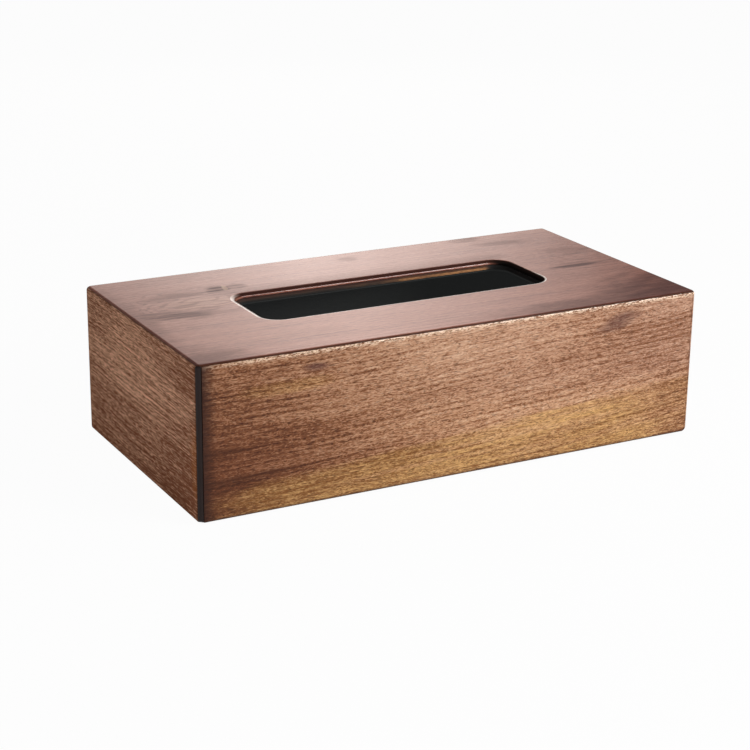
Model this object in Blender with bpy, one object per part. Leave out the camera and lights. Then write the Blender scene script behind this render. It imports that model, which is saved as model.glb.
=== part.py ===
"""Wooden tissue box cover with a slot in its top.

Walnut facing boards, mitred round the top and met by black beads at the upright
corners, cover a box of core boards. The inside is lined in black. The cover lifts
off a base board that stands on four pads and that magnets hold under two ledges.
Metres, Z up, origin on the table under the middle of the box.
"""

import math

import bmesh
import bpy
from mathutils import Matrix

# Overall size of the box as it stands on a table
LENGTH = 0.250
WIDTH = 0.130
HEIGHT = 0.070
STAND_OFF = 0.0010

# Thickness of the boards and sheets, and the glue line between two pieces
FACING = 0.0019
SIDE_CORE = 0.0055
TOP_CORE = 0.0020
LINING = 0.0008
SEAM = 0.0003

# Rounded edges: outer corners and top edge, lower edge, slot rim, plain boards
ARRIS_RADIUS = 0.0018
FOOT_RADIUS = 0.0010
RIM_RADIUS = 0.0016
BOARD_EASE = 0.0005

# Slot through which the tissues are pulled
SLOT_LENGTH = 0.144
SLOT_WIDTH = 0.0414
SLOT_CORNER = 0.008
LINING_REVEAL = 0.0010

# Ledges inside the short walls, and the magnets that join them to the base
LEDGE_WIDTH = 0.008
LEDGE_HEIGHT = 0.008
MAGNET_RADIUS = 0.0030
MAGNET_DEPTH = 0.0025
MAGNET_INSET = 0.0120

# Base board that closes the cover from below
BASE = 0.0040
BASE_CLEARANCE = 0.0005
FINGER_RADIUS = 0.0110
FINGER_INSET = 0.0260
PAD_DEPTH = 0.0012
PAD_RADIUS = 0.0060
PAD_INSET = 0.0130

# What cutters run past the piece they cut, and when two heights count as one
OVERRUN = 0.0050
SAME_HEIGHT = 0.000001

# Steps in a quarter turn
ARRIS_STEPS = 6
FOOT_STEPS = 3
RIM_STEPS = 5
SLOT_STEPS = 10
EASE_STEPS = 2
ROUND_SIDES = 32
SMOOTH_ANGLE = math.radians(40)

# Depths below the outer faces: where the cores start and end, and the lining's face
CORE_DEPTH = FACING + SEAM
INNER_DEPTH = CORE_DEPTH + SIDE_CORE
SHEET_DEPTH = INNER_DEPTH + SEAM
LINED_DEPTH = SHEET_DEPTH + LINING
LEDGE_END_DEPTH = LINED_DEPTH + SEAM
LEDGE_DEPTH = SHEET_DEPTH + LEDGE_WIDTH

# Heights above the table, from the top down and from the table up
TOP_CORE_HIGH = HEIGHT - CORE_DEPTH
TOP_CORE_LOW = TOP_CORE_HIGH - TOP_CORE
CEILING_HIGH = TOP_CORE_LOW - SEAM
CEILING_LOW = CEILING_HIGH - LINING
BASE_LOW = PAD_DEPTH + SEAM
BASE_HIGH = BASE_LOW + BASE
LEDGE_LOW = BASE_HIGH + SEAM
LEDGE_HIGH = LEDGE_LOW + LEDGE_HEIGHT

# A mitred joint opens its seam sideways by this much on each side
MITRE_SHIFT = SEAM / math.sqrt(2)

# Radii that the boards they are cut from limit
CORNER_ROUND = min(ARRIS_RADIUS, FACING)
RIM_ROUND = min(RIM_RADIUS, FACING - SEAM)

# Places of the magnets and of the pads, from the middle of the box
MAGNET_X = LENGTH / 2 - SHEET_DEPTH - LEDGE_WIDTH / 2
MAGNET_Y = WIDTH / 2 - LEDGE_END_DEPTH - MAGNET_INSET
BASE_DEPTH = INNER_DEPTH + BASE_CLEARANCE
PAD_X = LENGTH / 2 - BASE_DEPTH - PAD_INSET
PAD_Y = WIDTH / 2 - BASE_DEPTH - PAD_INSET
CORNERS = [
    ("front_left", -1, -1),
    ("front_right", 1, -1),
    ("back_left", -1, 1),
    ("back_right", 1, 1),
]


def start_collection(name):
    """A fresh collection in the scene."""
    group = bpy.data.collections.new(name)
    bpy.context.scene.collection.children.link(group)
    return group


def start_material(name, colour, roughness, metallic=0.0):
    """A Principled material with one colour."""
    finish = bpy.data.materials.new(name)
    finish.use_nodes = True
    shader = finish.node_tree.nodes["Principled BSDF"]
    shader.inputs["Base Color"].default_value = (*colour, 1.0)
    shader.inputs["Roughness"].default_value = roughness
    shader.inputs["Metallic"].default_value = metallic
    return finish


def start_body(name, parts):
    """An empty on the line along which the cover lifts, to carry one body's pieces."""
    empty = bpy.data.objects.new(name, None)
    empty.empty_display_size = HEIGHT / 2
    parts.objects.link(empty)
    return empty


def add_object(name, shape, place, group):
    """Turns a finished bmesh into an object that stands at its place."""
    mesh = bpy.data.meshes.new(name)
    shape.to_mesh(mesh)
    shape.free()
    piece = bpy.data.objects.new(name, mesh)
    piece.location = place
    group.objects.link(piece)
    return piece


def box_shape(size):
    """A box round its own middle."""
    shape = bmesh.new()
    bmesh.ops.create_cube(shape, size=1.0, matrix=Matrix.Diagonal((*size, 1.0)))
    return shape


def disc_shape(radius, depth):
    """A short round bar round its own middle."""
    shape = bmesh.new()
    bmesh.ops.create_cone(
        shape,
        cap_ends=True,
        segments=ROUND_SIDES,
        radius1=radius,
        radius2=radius,
        depth=depth,
    )
    return shape


def is_upright(edge):
    """True where an edge runs along Z."""
    run = edge.verts[1].co - edge.verts[0].co
    return abs(run.z) > abs(run.x) + abs(run.y)


def is_steep(face):
    """True where a face looks sideways more than up or down."""
    return abs(face.normal.z) < max(abs(face.normal.x), abs(face.normal.y))


def edges_at(shape, height):
    """The edges of a bmesh that lie at one height."""
    return [
        edge
        for edge in shape.edges
        if all(abs(vert.co.z - height) < SAME_HEIGHT for vert in edge.verts)
    ]


def round_edges(shape, edges, radius, steps):
    """Rounds some edges of a bmesh with a quarter turn."""
    bmesh.ops.bevel(
        shape,
        geom=edges,
        offset=radius,
        segments=steps,
        profile=0.5,
        affect="EDGES",
        clamp_overlap=False,
    )


def middle_and_size(low, high):
    """The middle and the size of the box between two corners."""
    middle = [(a + b) / 2 for a, b in zip(low, high)]
    size = [b - a for a, b in zip(low, high)]
    return middle, size


def cut(piece, cutter, operation="DIFFERENCE"):
    """Cuts a piece, or keeps what a cutter holds of it."""
    step = piece.modifiers.new(cutter.name, "BOOLEAN")
    step.operation = operation
    step.solver = "EXACT"
    step.object = cutter


def settle(piece):
    """Makes what the modifiers give into the piece's own mesh."""
    bpy.context.view_layer.update()
    graph = bpy.context.evaluated_depsgraph_get()
    mesh = bpy.data.meshes.new_from_object(piece.evaluated_get(graph))
    piece.modifiers.clear()
    piece.data = mesh


def smooth_round_faces(piece):
    """Shades the round faces smooth and leaves the corners sharp."""
    piece.data.shade_smooth()
    piece.data.set_sharp_from_angle(angle=SMOOTH_ANGLE)


class Box:
    """The tissue box: its collections, bodies and finishes, and the pieces so far."""

    def __init__(self):
        self.parts = start_collection("tissue_box_cover")
        self.cutters = start_collection("cutters")
        self.base = start_body("base", self.parts)
        self.cover = start_body("cover", self.parts)
        self.walnut = start_material("walnut", (0.16, 0.085, 0.05), 0.38)
        self.black_lacquer = start_material("black_lacquer", (0.012, 0.012, 0.012), 0.3)
        self.core_wood = start_material("core_wood", (0.36, 0.22, 0.11), 0.7)
        self.black_flock = start_material("black_flock", (0.01, 0.01, 0.01), 0.95)
        self.ledge_wood = start_material("ledge_wood", (0.03, 0.026, 0.023), 0.6)
        self.nickel = start_material("nickel", (0.62, 0.6, 0.57), 0.25, 1.0)
        self.base_paint = start_material("base_paint", (0.02, 0.02, 0.02), 0.55)
        self.felt = start_material("felt", (0.025, 0.025, 0.028), 0.95)

    def finish(self, piece, body, material):
        """Gives a piece its body and its material."""
        piece.parent = body
        piece.data.materials.clear()
        piece.data.materials.append(material)
        return piece

    def add_cutter(self, name, shape, place):
        """A cutter, shown as wire and left out of renders."""
        cutter = add_object(name, shape, place, self.cutters)
        cutter.display_type = "WIRE"
        cutter.hide_render = True
        return cutter

    def box_cutter(self, name, low, high):
        """A plain box cutter between two corners."""
        middle, size = middle_and_size(low, high)
        return self.add_cutter(name, box_shape(size), middle)

    def slot_cutter(self, name, reveal):
        """The slot's outline right through the top, wider all round by a reveal."""
        size = (
            SLOT_LENGTH + 2 * reveal,
            SLOT_WIDTH + 2 * reveal,
            HEIGHT - CEILING_LOW + 2 * OVERRUN,
        )
        shape = box_shape(size)
        upright = [edge for edge in shape.edges if is_upright(edge)]
        round_edges(shape, upright, SLOT_CORNER + reveal, SLOT_STEPS)
        return self.add_cutter(name, shape, (0, 0, (HEIGHT + CEILING_LOW) / 2))

    def mitre_cutter(self, name, shift, low):
        """The space of the top facing: its four sides lean in at 45 degrees."""
        high = HEIGHT + OVERRUN
        shape = box_shape((LENGTH, WIDTH, high - low))
        for vert in shape.verts:
            reach = OVERRUN if vert.co.z > 0 else low - HEIGHT
            vert.co.x = math.copysign(LENGTH / 2 + reach + shift, vert.co.x)
            vert.co.y = math.copysign(WIDTH / 2 + reach + shift, vert.co.y)
        return self.add_cutter(name, shape, (0, 0, (low + high) / 2))

    def outer_block(self, name):
        """The whole outside of the cover as one block with its rounded edges."""
        shape = box_shape((LENGTH, WIDTH, HEIGHT - STAND_OFF))
        shown = [
            edge
            for edge in shape.edges
            if is_upright(edge) or all(vert.co.z > 0 for vert in edge.verts)
        ]
        round_edges(shape, shown, CORNER_ROUND, ARRIS_STEPS)
        foot = (STAND_OFF - HEIGHT) / 2
        round_edges(shape, edges_at(shape, foot), FOOT_RADIUS, FOOT_STEPS)
        return add_object(name, shape, (0, 0, (HEIGHT + STAND_OFF) / 2), self.parts)

    def board(self, name, low, high, body, material, ease=0):
        """A flat board or sheet between two corners, with its edges eased."""
        middle, size = middle_and_size(low, high)
        shape = box_shape(size)
        if ease:
            round_edges(shape, list(shape.edges), ease, EASE_STEPS)
        piece = add_object(name, shape, middle, self.parts)
        return self.finish(piece, body, material)

    def disc(self, name, radius, low, high, x, y, body, material):
        """A round piece that stands between two heights."""
        place = (x, y, (low + high) / 2)
        piece = add_object(name, disc_shape(radius, high - low), place, self.parts)
        smooth_round_faces(piece)
        return self.finish(piece, body, material)

    def round_cutter(self, name, radius, low, high, x, y):
        """A round cutter between two heights."""
        place = (x, y, (low + high) / 2)
        return self.add_cutter(name, disc_shape(radius, high - low), place)


def add_top_panel(box):
    """The top facing: mitred on four sides, with the round-edged slot."""
    low = HEIGHT - FACING
    panel = box.outer_block("top_panel")
    cut(panel, box.mitre_cutter("top_mitre", -MITRE_SHIFT, low), "INTERSECT")
    cut(panel, box.slot_cutter("slot", 0))
    settle(panel)
    shape = bmesh.new()
    shape.from_mesh(panel.data)
    surface = HEIGHT - panel.location.z
    rim = [
        edge
        for edge in edges_at(shape, surface)
        if any(is_steep(face) for face in edge.link_faces)
    ]
    round_edges(shape, rim, RIM_ROUND, RIM_STEPS)
    shape.to_mesh(panel.data)
    shape.free()
    smooth_round_faces(panel)
    box.finish(panel, box.cover, box.walnut)


def add_side_panels(box):
    """The four upright facings, mitred to the top and square at the beads."""
    side_mitre = box.mitre_cutter("side_mitre", MITRE_SHIFT, TOP_CORE_LOW)
    out_x = LENGTH / 2 + OVERRUN
    out_y = WIDTH / 2 + OVERRUN
    end_x = LENGTH / 2 - CORE_DEPTH
    end_y = WIDTH / 2 - CORE_DEPTH
    back_x = LENGTH / 2 - FACING
    back_y = WIDTH / 2 - FACING
    high = HEIGHT + OVERRUN
    zones = [
        ("front_panel", (-end_x, -out_y), (end_x, -back_y)),
        ("back_panel", (-end_x, back_y), (end_x, out_y)),
        ("left_panel", (-out_x, -end_y), (-back_x, end_y)),
        ("right_panel", (back_x, -end_y), (out_x, end_y)),
    ]
    for name, low_corner, high_corner in zones:
        panel = box.outer_block(name)
        zone = box.box_cutter(name + "_zone", (*low_corner, 0), (*high_corner, high))
        cut(panel, zone, "INTERSECT")
        cut(panel, side_mitre)
        settle(panel)
        smooth_round_faces(panel)
        box.finish(panel, box.cover, box.walnut)


def add_corner_beads(box):
    """The black beads that fill the upright corners between two facings."""
    bead_mitre = box.mitre_cutter("bead_mitre", MITRE_SHIFT, TOP_CORE_LOW)
    high = HEIGHT + OVERRUN
    for corner, side_x, side_y in CORNERS:
        bead = box.outer_block("corner_bead_" + corner)
        reach_x = sorted(
            [side_x * (LENGTH / 2 - FACING), side_x * (LENGTH / 2 + OVERRUN)]
        )
        reach_y = sorted(
            [side_y * (WIDTH / 2 - FACING), side_y * (WIDTH / 2 + OVERRUN)]
        )
        low_corner = (reach_x[0], reach_y[0], 0)
        high_corner = (reach_x[1], reach_y[1], high)
        zone = box.box_cutter("bead_zone_" + corner, low_corner, high_corner)
        cut(bead, zone, "INTERSECT")
        cut(bead, bead_mitre)
        settle(bead)
        smooth_round_faces(bead)
        box.finish(bead, box.cover, box.black_lacquer)


def add_cores(box):
    """The core boards: the short ones fit between the long ones, under the top."""
    out_x = LENGTH / 2 - CORE_DEPTH
    out_y = WIDTH / 2 - CORE_DEPTH
    in_x = LENGTH / 2 - INNER_DEPTH
    in_y = WIDTH / 2 - INNER_DEPTH
    butt_y = in_y - SEAM
    low = STAND_OFF
    high = CEILING_HIGH
    top = box.board(
        "core_top",
        (-out_x, -out_y, TOP_CORE_LOW),
        (out_x, out_y, TOP_CORE_HIGH),
        box.cover,
        box.core_wood,
    )
    cut(top, box.slot_cutter("core_slot", 0))
    sides = [
        ("core_front", (-out_x, -out_y), (out_x, -in_y)),
        ("core_back", (-out_x, in_y), (out_x, out_y)),
        ("core_left", (-out_x, -butt_y), (-in_x, butt_y)),
        ("core_right", (in_x, -butt_y), (out_x, butt_y)),
    ]
    for name, low_corner, high_corner in sides:
        box.board(
            name, (*low_corner, low), (*high_corner, high), box.cover, box.core_wood
        )


def add_linings(box):
    """The black sheets on the ceiling and the four inner walls of the cover."""
    sheet_x = LENGTH / 2 - SHEET_DEPTH
    sheet_y = WIDTH / 2 - SHEET_DEPTH
    face_x = LENGTH / 2 - LINED_DEPTH
    face_y = WIDTH / 2 - LINED_DEPTH
    end_y = WIDTH / 2 - LEDGE_END_DEPTH
    high = CEILING_LOW - SEAM
    above_ledge = LEDGE_HIGH + SEAM
    ceiling = box.board(
        "lining_top",
        (-sheet_x, -sheet_y, CEILING_LOW),
        (sheet_x, sheet_y, CEILING_HIGH),
        box.cover,
        box.black_flock,
    )
    cut(ceiling, box.slot_cutter("lining_slot", LINING_REVEAL))
    sheets = [
        ("lining_front", (-sheet_x, -sheet_y, LEDGE_LOW), (sheet_x, -face_y, high)),
        ("lining_back", (-sheet_x, face_y, LEDGE_LOW), (sheet_x, sheet_y, high)),
        ("lining_left", (-sheet_x, -end_y, above_ledge), (-face_x, end_y, high)),
        ("lining_right", (face_x, -end_y, above_ledge), (sheet_x, end_y, high)),
    ]
    for name, low_corner, high_corner in sheets:
        box.board(name, low_corner, high_corner, box.cover, box.black_flock)


def add_ledges(box):
    """The ledges that the base meets, each with two magnets let into its underside."""
    end_y = WIDTH / 2 - LEDGE_END_DEPTH
    wall_x = LENGTH / 2 - SHEET_DEPTH
    face_x = LENGTH / 2 - LEDGE_DEPTH
    ledges = [
        ("ledge_left", (-wall_x, -end_y, LEDGE_LOW), (-face_x, end_y, LEDGE_HIGH)),
        ("ledge_right", (face_x, -end_y, LEDGE_LOW), (wall_x, end_y, LEDGE_HIGH)),
    ]
    for name, low_corner, high_corner in ledges:
        ledge = box.board(
            name, low_corner, high_corner, box.cover, box.ledge_wood, BOARD_EASE
        )
        for corner, side_x, side_y in CORNERS:
            if side_x * ledge.location.x < 0:
                continue
            pocket = box.round_cutter(
                "ledge_pocket_" + corner,
                MAGNET_RADIUS + SEAM,
                LEDGE_LOW - OVERRUN,
                LEDGE_LOW + MAGNET_DEPTH + SEAM,
                side_x * MAGNET_X,
                side_y * MAGNET_Y,
            )
            cut(ledge, pocket)
    for corner, side_x, side_y in CORNERS:
        box.disc(
            "ledge_magnet_" + corner,
            MAGNET_RADIUS,
            LEDGE_LOW,
            LEDGE_LOW + MAGNET_DEPTH,
            side_x * MAGNET_X,
            side_y * MAGNET_Y,
            box.cover,
            box.nickel,
        )


def add_base(box):
    """The base board with its finger hole, magnets, lining and pads."""
    out_x = LENGTH / 2 - BASE_DEPTH
    out_y = WIDTH / 2 - BASE_DEPTH
    board = box.board(
        "base_board",
        (-out_x, -out_y, BASE_LOW),
        (out_x, out_y, BASE_HIGH),
        box.base,
        box.base_paint,
        BOARD_EASE,
    )
    hole_low = BASE_LOW - OVERRUN
    hole_high = BASE_HIGH + OVERRUN
    hole_x = out_x - FINGER_INSET
    hole = box.round_cutter(
        "finger_hole", FINGER_RADIUS, hole_low, hole_high, hole_x, 0
    )
    cut(board, hole)
    sheet_x = LENGTH / 2 - LEDGE_DEPTH - BASE_CLEARANCE
    sheet_y = WIDTH / 2 - LINED_DEPTH - BASE_CLEARANCE
    sheet_low = BASE_HIGH + SEAM
    sheet = box.board(
        "base_lining",
        (-sheet_x, -sheet_y, sheet_low),
        (sheet_x, sheet_y, sheet_low + LINING),
        box.base,
        box.black_flock,
    )
    wide_radius = FINGER_RADIUS + LINING_REVEAL
    wide = box.round_cutter("lining_hole", wide_radius, hole_low, hole_high, hole_x, 0)
    cut(sheet, wide)
    for corner, side_x, side_y in CORNERS:
        pocket = box.round_cutter(
            "base_pocket_" + corner,
            MAGNET_RADIUS + SEAM,
            BASE_HIGH - MAGNET_DEPTH - SEAM,
            BASE_HIGH + OVERRUN,
            side_x * MAGNET_X,
            side_y * MAGNET_Y,
        )
        cut(board, pocket)
        box.disc(
            "base_magnet_" + corner,
            MAGNET_RADIUS,
            BASE_HIGH - MAGNET_DEPTH,
            BASE_HIGH,
            side_x * MAGNET_X,
            side_y * MAGNET_Y,
            box.base,
            box.nickel,
        )
        box.disc(
            "pad_" + corner,
            PAD_RADIUS,
            0,
            PAD_DEPTH,
            side_x * PAD_X,
            side_y * PAD_Y,
            box.base,
            box.felt,
        )


def build():
    """Builds the whole box in an emptied scene."""
    for item in list(bpy.data.objects):
        bpy.data.objects.remove(item)
    box = Box()
    add_base(box)
    add_ledges(box)
    add_cores(box)
    add_linings(box)
    add_side_panels(box)
    add_corner_beads(box)
    add_top_panel(box)


build()
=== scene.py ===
# %% [markdown]
# # A walnut tissue box cover
#
# The real object is a low wooden box, 250 mm long, that stands over a pack of
# tissues. Five lacquered walnut facings cover it, slim beads fill its upright
# corners, and a round-cornered slot in the top lets the tissues out. The packed
# model already has every solid at its real size. This script gives the object its
# looks: it reads that model, builds finer skins for the pieces that show, and paints
# every surface with procedural materials.

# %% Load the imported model
import math

import bmesh
import bpy
from mathutils import Matrix, Vector


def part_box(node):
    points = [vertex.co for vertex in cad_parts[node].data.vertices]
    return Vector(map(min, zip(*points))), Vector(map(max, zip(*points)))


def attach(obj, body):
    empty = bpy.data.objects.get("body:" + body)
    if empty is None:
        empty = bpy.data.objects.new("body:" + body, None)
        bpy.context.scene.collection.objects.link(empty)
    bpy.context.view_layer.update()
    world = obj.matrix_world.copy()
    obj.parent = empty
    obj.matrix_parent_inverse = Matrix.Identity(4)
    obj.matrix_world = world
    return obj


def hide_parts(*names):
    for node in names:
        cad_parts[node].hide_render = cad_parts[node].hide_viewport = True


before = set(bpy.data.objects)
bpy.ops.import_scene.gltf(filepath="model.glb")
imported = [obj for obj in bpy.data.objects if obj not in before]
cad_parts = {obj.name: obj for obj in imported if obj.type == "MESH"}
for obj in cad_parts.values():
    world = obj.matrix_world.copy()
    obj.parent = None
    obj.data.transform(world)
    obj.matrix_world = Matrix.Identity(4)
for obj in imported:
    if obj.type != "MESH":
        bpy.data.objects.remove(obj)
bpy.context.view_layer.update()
MM = 0.001

# %% [markdown]
# ## Sizes that the frame gives
#
# A skin has to sit exactly where the solid it stands for sits, so its sizes come
# from the boxes of the solids. They could be typed in again, but then a skin would
# part from its solid as soon as one of them changed. Only what a box can't tell, such
# as the radius of a rounded edge, is given as a number, where it is first needed.

# %% Read the outside of the box
HALF_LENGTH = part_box("right_panel")[1].x
HALF_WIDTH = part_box("back_panel")[1].y
TOP_LOW, HEIGHT = (corner.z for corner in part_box("top_panel"))
FACING = HEIGHT - TOP_LOW
print("box:", [round(v / MM, 2) for v in (2 * HALF_LENGTH, 2 * HALF_WIDTH, HEIGHT)])
print("facing:", round(FACING / MM, 2), "mm")

# %% [markdown]
# ## Writing node maths as plain expressions
#
# A wood finish is mostly arithmetic on noise. Placed by hand, its Math nodes would
# fill pages. One small class wraps a socket, so that `0.5 - grain * 2` adds the nodes
# by itself, and one method adds any other kind of node: its settings are set first,
# and then its sockets get values or links.

# %% The class that wraps a socket
class Wire:
    """A value that flows between nodes. Arithmetic on it adds Math nodes."""

    def __init__(self, bench, socket):
        self.bench = bench
        self.socket = socket

    def math(self, operation, *values):
        """One Math node of the given operation."""
        settings = {"operation": operation}
        return self.bench.node("ShaderNodeMath", settings, dict(enumerate(values)))

    def __add__(self, other):
        return self.math("ADD", self, other)

    def __radd__(self, other):
        return self.math("ADD", other, self)

    def __sub__(self, other):
        return self.math("SUBTRACT", self, other)

    def __rsub__(self, other):
        return self.math("SUBTRACT", other, self)

    def __mul__(self, other):
        return self.math("MULTIPLY", self, other)

    def __rmul__(self, other):
        return self.math("MULTIPLY", other, self)

    def __abs__(self):
        return self.math("ABSOLUTE", self)

    def most(self, other):
        """The larger of two values."""
        return self.math("MAXIMUM", self, other)

    def swing(self, length):
        """A wave between -1 and 1 that repeats after a length."""
        return self.math("SINE", self * (math.tau / length))

    def ease(self, start, end):
        """0 up to start, 1 from end on, and a smooth step between."""
        return self.bench.node(
            "ShaderNodeMapRange",
            {"interpolation_type": "SMOOTHSTEP"},
            {"Value": self, "From Min": start, "From Max": end},
        )


# %% The class that adds nodes
class Bench:
    """A node tree that nodes are added to."""

    def __init__(self, tree):
        self.tree = tree

    def node(self, kind, settings=None, sockets=None, output=0):
        """Adds a node, sets its settings first and then its sockets."""
        made = self.tree.nodes.new(kind)
        for key, value in (settings or {}).items():
            setattr(made, key, value)
        for key, value in (sockets or {}).items():
            self.plug(made.inputs[key], value)
        return Wire(self, made.outputs[output]) if made.outputs else None

    def plug(self, socket, value):
        """Gives a socket a link or a plain value."""
        if isinstance(value, Wire):
            self.tree.links.new(value.socket, socket)
        else:
            socket.default_value = value

    def split(self, vector):
        """The three numbers of a vector."""
        node = self.node("ShaderNodeSeparateXYZ", None, {"Vector": vector}).socket.node
        return [Wire(self, node.outputs[axis]) for axis in "XYZ"]

    def rays(self):
        """1 for rays from the camera, and 1 for those and for reflections and glass."""
        path = self.node("ShaderNodeLightPath").socket.node
        camera, glossy, through = (
            Wire(self, path.outputs[f"Is {kind} Ray"])
            for kind in ("Camera", "Glossy", "Transmission")
        )
        return camera, camera.most(glossy).most(through)


# %% Colours as a screen shows them
def whole(value):
    """Adds the fourth number that Blender's colours need."""
    return value if isinstance(value, Wire) else (*value, 1.0)


def tint(red, green, blue):
    """A colour from its screen values, 0 to 255, by the curve that screens use."""
    return tuple(
        level / 12.92 if level < 0.04045 else ((level + 0.055) / 1.055) ** 2.4
        for level in (red / 255, green / 255, blue / 255)
    )


SOOT = tint(24, 21, 20)
print("soot in a shader's numbers:", [round(level, 4) for level in SOOT])

# %% The class that holds one material's nodes
# How far noise moves along x, y and z from one seed to the next
SEED_STRIDE = 3.7, 1.9, 2.3


class Finish(Bench):
    """One material, and the nodes that paint it."""

    def __init__(self, name):
        self.material = bpy.data.materials.new(name)
        self.material.use_nodes = True
        super().__init__(self.material.node_tree)
        self.shader = self.tree.nodes["Principled BSDF"]

    def constants(self, **values):
        """Sets numbers that are the same all over on the shader's own sockets."""
        for key, value in values.items():
            self.shader.inputs[key.replace("_", " ")].default_value = value

    def feed(self, **wires):
        """Links what varies over the surface into the shader."""
        for key, value in wires.items():
            self.plug(self.shader.inputs[key.replace("_", " ")], value)

    def place(self):
        """The point being shaded, in millimetres, as three wires."""
        spot = self.node("ShaderNodeTexCoord", output="Object")
        return [axis * (1 / MM) for axis in self.split(spot)]

    def noise(self, spot, lengths, seed, detail=2.0, roughness=0.5):
        """Noise between 0 and 1 whose grains have the given lengths in millimetres."""
        stretched = [axis * (1 / length) for axis, length in zip(spot, lengths)]
        vector = self.node("ShaderNodeCombineXYZ", None, dict(zip("XYZ", stretched)))
        moved = self.node(
            "ShaderNodeVectorMath",
            {"operation": "ADD"},
            {0: vector, 1: [seed * stride for stride in SEED_STRIDE]},
        )
        sockets = {"Vector": moved, "Scale": 1, "Detail": detail, "Roughness": roughness}
        return self.node("ShaderNodeTexNoise", {"noise_dimensions": "3D"}, sockets)

    def bump(self, height, distance, strength=1.0):
        """A surface normal from a height between 0 and 1, and its depth in metres."""
        sockets = {"Height": height, "Distance": distance, "Strength": strength}
        return self.node("ShaderNodeBump", None, sockets)

    def mix(self, factor, first, second):
        """A colour between two colours. The node's colour sockets are 6, 7 and, out, 2."""
        return self.node(
            "ShaderNodeMix",
            {"data_type": "RGBA"},
            {0: factor, 6: whole(first), 7: whole(second)},
            output=2,
        )

    def blend(self, value, shade, *steps):
        """Colours that follow a value. A step has its start, its end and its colour."""
        for start, end, colour in steps:
            shade = self.mix(value.ease(start, end), shade, colour)
        return shade

    def glaze(self, shade, coats):
        """Lays coats over a shade, each a mask and the colour that shows through it."""
        for mask, colour in coats:
            shade = self.mix(mask, shade, colour)
        return shade


# %% [markdown]
# ## Walnut
#
# The facings are real walnut under a satin lacquer. Sawn walnut shows several things
# at several sizes: broad tones, dark growth lines two or three millimetres apart,
# fine specks where the fibres catch the light, and open pores that look like short
# dark dashes. A photo texture would be the quick way. Here stretched noise makes each
# of them along the board's own grain, so the wood runs round the rounded edges as
# solid wood does, and every board gets its own figure from its own numbers.

# %% Colours that every board shares
DARK_WOOD = tint(80, 46, 31)
BROWN_WOOD = tint(140, 90, 60)
TAN_WOOD = tint(196, 148, 113)
PALE_WOOD = tint(228, 190, 158)
PURPLE_WOOD = tint(92, 60, 58)
PORE = tint(62, 36, 26)
print("brown in a shader's numbers:", [round(level, 3) for level in BROWN_WOOD])

# %% Layers of noise that every board shares
# A layer has its number, the length of its grains along and across the board in
# millimetres, and how much finer detail it holds.
LAYERS = {
    "warp": (0, 110, 40, 1.0),  # bends the growth lines slowly
    "wave": (1, 24, 12, 1.0),  # and bends them again in short waves
    "wander": (2, 14, 5, 1.0),  # makes the rim of a mark uneven
    "broad": (3, 140, 8, 1.0),  # wide bands of tone
    "streaks": (4, 60, 1.1, 1.0),
    "jitter": (5, 11, 1.8, 2.0),  # breaks up lines and fibres
    "strength": (6, 40, 6, 1.0),  # where growth lines show and where they fade
    "fibre": (7, 4, 0.45, 1.0),
    "specks": (8, 1.1, 0.5, 1.5),
    "pores": (9, 2.4, 0.42, 1.0),
    "rings": (10, 20, 6, 1.0),  # makes the arcs round a knot uneven
    "stray": (11, 30, 3, 2.0),  # frays the edges of the front's colours
    "patches": (12, 46, 3.5, 2.0),
    "wisps": (13, 34, 2.2, 2.0),  # smoke on the top
    "mottle": (14, 7, 2.2, 2.0),
    "threads": (14, 70, 0.8, 2.0),  # fine light lines on the side boards
}
SEEDS_PER_BOARD = 17
WARP_DEPTH, WAVE_DEPTH = 7, 1.2
print("layers of noise:", len(LAYERS))


# %% Wood with its grain along one axis
class Wood(Finish):
    """A board in millimetres: a runs along its grain, b across it and c through it."""

    def __init__(self, name, along, seed, lean=0.0, sweep=0.0):
        super().__init__(name)
        x, y, z = self.place()
        self.a, self.b, self.c = {"X": (x, z, y), "Y": (y, z, x), "TOP": (x, y, z)}[along]
        self.below = HEIGHT / MM - z
        self.seed = seed
        warp = (self.layer("warp", straight=True) - 0.5) * WARP_DEPTH
        wave = (self.layer("wave", straight=True) - 0.5) * WAVE_DEPTH
        rise = self.a * (self.a * sweep + lean)
        self.bent = self.b - rise + warp + wave

    def layer(self, name, straight=False, slide=0, stretch=1.0):
        """One layer of noise, stretched along the grain, straight or bent with it."""
        number, long, across, detail = LAYERS[name]
        spot = (self.a + slide, self.b if straight else self.bent, self.c)
        lengths = (long * stretch, across, across)
        return self.noise(spot, lengths, self.seed * SEEDS_PER_BOARD + number, detail)

    def blot(self, middle, reach, tilt=0.0):
        """A soft oval mark: 1 in its middle, and 0 outside its reach."""
        turn = math.radians(tilt)
        wander = self.layer("wander") - 0.5
        right, up = self.a - middle[0], self.b - middle[1]
        along = (right * math.cos(turn) + up * math.sin(turn)) * (1 / reach[0])
        across = (up * math.cos(turn) - right * math.sin(turn)) * (1 / reach[1])
        return 1 - (along * along + across * across + wander).ease(0.0, 1.0)

    def blots(self, marks):
        """Several soft marks as one, in which the strongest wins."""
        strongest = self.blot(*marks[0])
        for mark in marks[1:]:
            strongest = strongest.most(self.blot(*mark))
        return strongest

    def arcs(self, middle, reach, gap):
        """Fine dark arcs round a point, as growth lines run round a hidden knot."""
        wander = self.layer("rings") - 0.5
        right = (self.a - middle[0]) * (1 / reach[0])
        up = (self.b - middle[1]) * (1 / reach[1])
        far = right * right + up * up + wander * 0.5
        return far.swing(gap).ease(0.0, 1.0) * (1 - far.ease(0.5, 1.1))


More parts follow.
